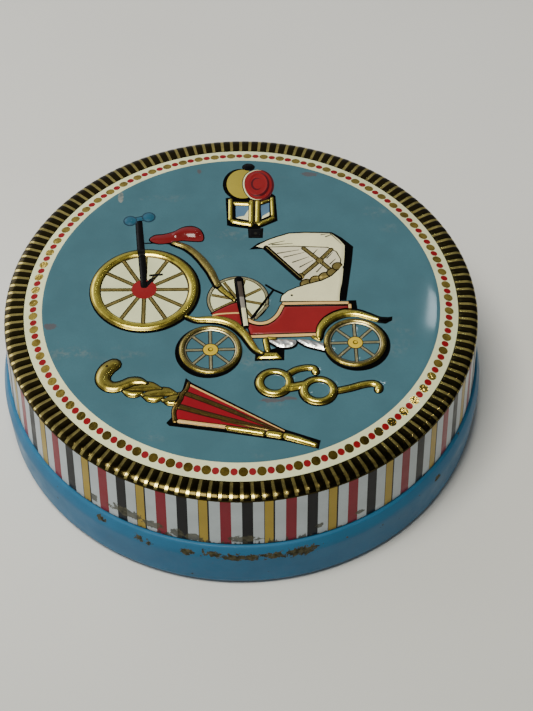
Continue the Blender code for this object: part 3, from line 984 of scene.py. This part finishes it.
def pressed_surface(relief, plan, depth):
    """Points of the pressed sheet under these plan positions, depth below its face, and normals."""
    x, y = plan[:, 0], plan[:, 1]
    radius = np.hypot(x, y)
    fall = (sheet_height(radius + 0.01) - sheet_height(radius - 0.01)) / 0.02
    safe = np.maximum(radius, 1e-6)
    slope_x = relief.read(relief.slope_x, x, y) + fall * x / safe
    slope_y = relief.read(relief.slope_y, x, y) + fall * y / safe
    normals = np.stack([-slope_x, -slope_y, np.ones(len(x))], -1)
    normals /= np.linalg.norm(normals, axis=1)[:, None]
    face = np.stack([x, y, sheet_height(radius) + relief.read(relief.field, x, y)], -1)
    return face - normals * depth, normals


def rim_order(plan):
    """Numbers of the points on the outer edge, counter-clockwise."""
    on_rim = (np.hypot(plan[:, 0], plan[:, 1]) > BORDER_RADIUS - 0.01).nonzero()[0]
    return sorted(on_rim, key=lambda k: math.atan2(plan[k, 1], plan[k, 0]))


def build_lid_top(picture, inks, plain_inside):
    """The lid's middle and cream ring: one closed sheet, printed above and bare below."""
    plan, triangles = picture_mesh(picture)
    plan_below, triangles_below = underside_mesh(picture.relief)
    top, normals = pressed_surface(picture.relief, plan, 0.0)
    under, normals_below = pressed_surface(picture.relief, plan_below, SHEET)

    middle = plan[triangles].mean(axis=1)
    names = list(inks)
    ink_of = np.zeros(len(triangles), int)
    for ink, outline in picture.areas:
        pts = np.array(outline)
        near = np.all((middle > pts.min(0)) & (middle < pts.max(0)), axis=1).nonzero()[0]
        hit = near[inside(outline, middle[near, 0], middle[near, 1])]
        ink_of[hit] = names.index(ink)

    count = len(plan)
    upper, lower = rim_order(plan), [k + count for k in rim_order(plan_below)]
    walls = [(upper[k - 1], lower[k - 1], lower[k], upper[k]) for k in range(len(upper))]
    all_faces = triangles.tolist() + (triangles_below[:, ::-1] + count).tolist() + walls
    indices = ink_of.tolist() + [len(names)] * (len(triangles_below) + len(walls))
    materials = [inks[name] for name in names] + [plain_inside]
    piece = add_piece("lid_top", np.concatenate([top, under]), all_faces, materials, indices,
                      "lid", "lid_print", "lid")
    shading = np.concatenate([normals, -normals_below])
    piece.data.normals_split_custom_set_from_vertices(shading.tolist())


def side_of(outline, distance):
    """The outline moved by distance to its right-hand side, and the unit normals to its left."""
    pts = np.array(outline, float)
    step = np.diff(pts, axis=0)
    step /= np.linalg.norm(step, axis=1)[:, None]
    into = np.vstack([step[:1], step])
    along = into + np.vstack([step, step[-1:]])
    along /= np.linalg.norm(along, axis=1)[:, None]
    reach = 1.0 / np.maximum(np.sum(along * into, axis=1), 0.5)
    left = np.stack([-along[:, 1], along[:, 0]], -1)
    moved = pts - left * (distance * reach)[:, None]
    moved[:, 0] = np.maximum(moved[:, 0], 0.0)
    return moved, left


def add_turned(name, outline, azimuths, lift, ink, materials, sharp, *tie):
    """A piece made of a sheet's section turned round the axis.

    lift(row, azimuths) gives how far a row stands out, and ink(row, column, inner) a face's material.
    Edges above the angle sharp, in degrees, stay sharp. tie is what add_piece takes last.
    """
    outer = np.array(outline, float)
    inner, normal = side_of(outline, SHEET)
    rows, columns = len(outer), len(azimuths)
    cosine, sine = np.cos(azimuths), np.sin(azimuths)
    vertices = []
    for side, order in ((outer, range(rows)), (inner, reversed(range(rows)))):
        for row in order:
            out = lift(row, azimuths)
            r, z = (side[row, k] + normal[row, k] * out for k in (0, 1))
            vertices.append(np.stack([r * cosine, r * sine, z + 0.0 * cosine], -1))
    faces, indices = [], []
    for ring in range(2 * rows):
        on_outside = ring < rows - 1
        row = ring if on_outside else 2 * rows - 2 - ring
        here, following = ring * columns, (ring + 1) % (2 * rows) * columns
        for column in range(columns):
            beside = (column + 1) % columns
            faces.append((here + column, following + column, following + beside, here + beside))
            indices.append(ink(row, column, not on_outside))
    piece = add_piece(name, np.concatenate(vertices), faces, materials, indices, *tie)
    piece.data.set_sharp_from_angle(angle=math.radians(sharp))


def build_lid_rim(finishes):
    """Fluted shoulder, striped skirt and folded hem of the lid."""
    names = list(finishes)
    number = {name: k for k, name in enumerate(names)}
    join, start = math.radians(SHOULDER_JOIN), math.radians(SHOULDER_START)
    fall = BROAD_ROUND * (math.sin(start) - math.sin(join)) + TIGHT_ROUND * math.sin(join)
    tight = np.array([SHOULDER_RADIUS - TIGHT_ROUND, CROWN - fall])
    broad = tight - (BROAD_ROUND - TIGHT_ROUND) * np.array([math.cos(join), math.sin(join)])
    bend = arc(broad, BROAD_ROUND, SHOULDER_START, SHOULDER_JOIN, 8)
    border = (BORDER_RADIUS, BORDER_TOP)
    outline = [border] + between(border, bend[0], (0.07, 0.15, 0.26, 0.5))
    outline += bend + arc(tight, TIGHT_ROUND, SHOULDER_JOIN, 0.0, 6)[1:]
    band_end = len(outline) - 3
    hem_top = (SKIRT_RADIUS, LID_EDGE + HEM_HEIGHT)
    outline += between(outline[-1], hem_top, (0.03, 0.97))
    outline += [hem_top, (SKIRT_RADIUS, LID_EDGE + HEM_HEIGHT * 0.55)]
    outline += arc((SKIRT_RADIUS - HEM_ROUND, LID_EDGE + HEM_ROUND), HEM_ROUND, 0.0, -180.0, 6)
    hem_turn = len(outline) - 4
    outline.append((SKIRT_RADIUS - 2.0 * HEM_ROUND, LID_EDGE + HEM_HEIGHT))

    lengths = np.linalg.norm(np.diff(np.array(outline), axis=0), axis=1)
    reach = np.concatenate([[0.0], np.cumsum(lengths)])
    share = np.array(FLUTE_STATIONS * FLUTES)
    across = np.clip((np.minimum(share, 1.0 - share) - GROOVE_HALF) / FLUTE_BEVEL, 0.0, 1.0)
    bulge = across ** 2 * (3.0 - 2.0 * across)

    def lift(row, _):
        along = min(reach[row] - FLUTE_MARGIN, reach[band_end] - reach[row]) / FLUTE_END
        return FLUTE_DEPTH * math.sqrt(1.0 - (1.0 - min(max(along, 0.0), 1.0)) ** 2) * bulge

    stations = len(FLUTE_STATIONS)

    def ink(row, column, inner):
        flute, station = divmod(column, stations)
        if inner or row >= hem_turn:
            return number["lid_tinplate"]
        if row <= band_end:
            in_groove = abs(FLUTE_STATIONS[station] - 0.5) > 0.5 - GROOVE_HALF or station == stations - 1
            return number["band_gold" if in_groove and 1 <= row < band_end - 1 else "band_black"]
        stripe = STRIPES[(flute - FIRST_STRIPE) % len(STRIPES)]
        if stripe == "stripe_gold" and station in (0, stations - 1):
            stripe = "stripe_black"
        return number[stripe]

    azimuths = FLUTE_TURN + 2.0 * math.pi / FLUTES * (np.arange(FLUTES)[:, None] + FLUTE_STATIONS).ravel()
    add_turned("lid_rim", outline, azimuths, lift, ink, [finishes[name] for name in names], 55.0,
               "lid", "lid_print", "lid")


def round_azimuths(count):
    return np.linspace(0.0, 2.0 * math.pi, count, endpoint=False)


def uneven(azimuths, size):
    """Slight waves that forming leaves in a rolled wall."""
    return size * (np.sin(3.0 * azimuths + 0.7) + 0.6 * np.sin(7.0 * azimuths + 2.1)
                   + 0.4 * np.sin(16.0 * azimuths + 4.0)) / 2.0


def build_body_wall():
    """Curled rim, neck, rounded ledge, wall with a lap seam at the back, and turned-in foot."""
    shelf = LID_EDGE - CLEARANCE
    outline = arc((NECK_RADIUS - CURL_RADIUS, RIM_TOP - CURL_RADIUS), CURL_RADIUS, 250.0, 0.0, 18)
    neck_top = len(outline) - 1
    outline += [(NECK_RADIUS, RIM_TOP - 8.0), (NECK_RADIUS, shelf + 6.0)]
    outline += arc((NECK_RADIUS + NECK_ROUND, shelf + NECK_ROUND), NECK_ROUND, 180.0, 270.0, 5)
    outline += arc((NECK_RADIUS + LEDGE_WIDTH, shelf - LEDGE_ROUND), LEDGE_ROUND, 90.0, LEDGE_SLOPE, 7)
    outline += arc((WALL_TOP_RADIUS - WALL_ROUND, shelf - BULGE_DROP), WALL_ROUND, LEDGE_SLOPE, 0.0, 6)
    wall_start = len(outline) - 1
    outline += between(outline[-1], (WALL_FOOT_RADIUS, FOOT_ROUND), (0.1, 0.3, 0.5, 0.7, 0.9))
    outline += arc((WALL_FOOT_RADIUS - FOOT_ROUND, FOOT_ROUND), FOOT_ROUND, 0.0, -90.0, 14)
    outline += [(FOOT_INNER_RADIUS + inwards, 0.0) for inwards in (1.9, 0.2, 0.0)]

    azimuths = round_azimuths(480)
    from_seam = np.abs(np.angle(np.exp(1j * (azimuths - math.pi / 2.0))))
    lap = SEAM_HEIGHT * np.clip((math.radians(1.9) - from_seam) / math.radians(0.6), 0.0, 1.0)

    def lift(row, azimuths):
        if row < neck_top:
            return 0.0 * azimuths
        above_foot = min(max((outline[row][1] - 0.6) / 2.0, 0.0), 1.0)
        return above_foot * (lap * (1.0 if row >= wall_start else 0.5) + uneven(azimuths, 0.03))

    materials = [enamel("body_enamel", (0.034, 0.142, 0.265), wall_wear, 0.02, shine=0.06),
                 tinplate("inside_tinplate")]
    add_turned("wall", outline, azimuths, lift, lambda row, column, inner: int(inner), materials, 50.0,
               "base", "body_enamel", "body_wall")


def build_bottom():
    """Raised bottom disc with a shallow pressed ring."""
    seat = SHEET + CLEARANCE
    corner = (WALL_FOOT_RADIUS - FOOT_ROUND, FOOT_ROUND)
    under = seat + PANEL_RISE
    outline = [(corner[0] + FOOT_ROUND - seat, FOOT_ROUND + 1.0)]
    outline += arc(corner, FOOT_ROUND - seat, 0.0, -90.0, 10)
    outline += [(PANEL_EDGE_RADIUS + RISE_WIDTH + 0.3, seat), (PANEL_EDGE_RADIUS + RISE_WIDTH, seat + 0.2),
                (PANEL_EDGE_RADIUS + 0.3, under - 0.3), (PANEL_EDGE_RADIUS - 0.2, under)]
    ring_radius, ring_width, ring_drop = 62.0, 2.4, 0.35
    outline += [(ring_radius + ring_width * share, under - ring_drop * (1.0 - share ** 2))
                for share in np.linspace(1.0, -1.0, 9)]
    outline += [(radius, under) for radius in (40.0, 20.0, 0.01)]
    add_turned("bottom", outline, round_azimuths(360), lambda row, a: 0.0 * a,
               lambda row, column, inner: 0, [tinplate("bottom_tinplate", (0.58, 0.57, 0.54))], 50.0,
               "base", "tinplate", "bottom_disc")


# ---- Stage, light and camera ------------------------------------------------------------------
def make_floor():
    """A plain pale floor, with painted shade: a little darker in front of the tin, where the room's light
    falls off.
    """
    half = 4.0
    mesh = bpy.data.meshes.new("floor")
    corners = [(-half, -half, 0.0), (half, -half, 0.0), (half, half, 0.0), (-half, half, 0.0)]
    mesh.from_pydata(corners, [], [(0, 1, 2, 3)])
    finish = Finish("floor_paint", 0.75)
    cloud = finish.band(finish.noise(6.0, 3.0), 0.3, 0.7)
    pale = finish.mix(cloud, (0.74, 0.735, 0.705), (0.79, 0.785, 0.755))
    # painted shade: the floor darkens towards the front
    near = finish.band(finish.axes()[1], 0.0, -0.2)
    shade = finish.mix(near, pale, (0.56, 0.565, 0.54))
    finish.tree.links.new(shade, finish.shader.inputs["Base Color"])
    mesh.materials.append(finish.material)
    floor = bpy.data.objects.new("floor", mesh)
    bpy.context.scene.collection.objects.link(floor)


def make_world():
    """A pale room with a darker ceiling, brighter on the left and at the back."""
    world = bpy.data.worlds.new("studio")
    bpy.context.scene.world = world
    world.use_nodes = True
    tree = world.node_tree
    back = tree.nodes["Background"]
    place = tree.nodes.new("ShaderNodeTexCoord").outputs["Generated"]
    split = add_node(tree, "SeparateXYZ", (place,))
    ramp = add_node(tree, "ValToRGB", {"Fac": split.outputs["Z"]})
    stops = ramp.color_ramp.elements
    stops[0].position, stops[0].color = 0.0, (0.42, 0.44, 0.48, 1.0)
    stops[1].position, stops[1].color = 1.0, (0.25, 0.24, 0.21, 1.0)
    for position, level in ((0.4, 0.40), (0.6, 0.52), (0.79, 0.50), (0.88, 0.11)):
        stops.new(position).color = (level, level * 1.03, level * 1.08, 1.0)
    tree.links.new(ramp.outputs["Color"], back.inputs["Color"])
    sides = [add_node(tree, "MapRange", (split.outputs[axis], -1.0, 1.0, low, high)).outputs[0]
             for axis, low, high in (("X", 1.35, 0.14), ("Y", 0.5, 1.2))]
    both = add_node(tree, "Math", sides, operation="MULTIPLY")
    tree.links.new(both.outputs[0], back.inputs["Strength"])


def add_light(name, place, size, power, colour, turn=None):
    """A rectangular light aimed at the tin, or, with a turn in degrees, one that faces straight down."""
    data = bpy.data.lights.new(name, "AREA")
    data.shape = "RECTANGLE"
    data.size, data.size_y = size
    data.energy = power
    data.color = colour
    light = bpy.data.objects.new(name, data)
    light.location = place
    aim = Vector((0.0, 0.0, 0.03)) - Vector(place)
    light.rotation_euler = aim.to_track_quat("-Z", "Y").to_euler()
    if turn is not None:
        light.rotation_euler = (0.0, 0.0, math.radians(turn))
    bpy.context.scene.collection.objects.link(light)


def make_camera():
    """Camera at the photograph's angle: it looks down at the lid from the front."""
    elevation = math.radians(50.68)
    distance, aside, drop = 679.3, 8.6, 17.1
    back = Vector((0.0, -math.cos(elevation), math.sin(elevation)))
    up = Vector((0.0, math.sin(elevation), math.cos(elevation)))
    right = Vector((1.0, 0.0, 0.0))
    place = Vector((0.0, 0.0, BORDER_TOP)) + back * distance + right * aside - up * drop
    data = bpy.data.cameras.new("camera")
    data.lens = 101.3
    data.sensor_width = 36.0
    camera = bpy.data.objects.new("camera", data)
    turn = Matrix((right, up, back)).transposed().to_4x4()
    camera.matrix_world = Matrix.Translation(place * MM) @ turn
    bpy.context.scene.collection.objects.link(camera)
    bpy.context.scene.camera = camera


make_camera()
make_world()
make_floor()
# The last two lights are small: their reflections are the glare and the glints on the lid's right.
add_light("overhead", (-0.215, -0.265, 1.1), (0.50, 0.33), 13.3, (1.0, 0.97, 0.86), -10.8)
add_light("window", (-1.2, 0.6, 0.55), (1.6, 0.7), 8.0, (0.97, 0.98, 1.0))
add_light("lamp", (0.252, 1.288, 1.553), (0.052, 0.050), 0.19, (0.76, 0.92, 1.0))
add_light("spark", (0.661, 0.514, 1.301), (0.04, 0.04), 0.16, (1.0, 0.98, 0.9))

band_finishes = make_band_finishes()
build_lid_top(draw_picture(), make_inks(), band_finishes["lid_tinplate"])
build_lid_rim(band_finishes)
build_body_wall()
build_bottom()
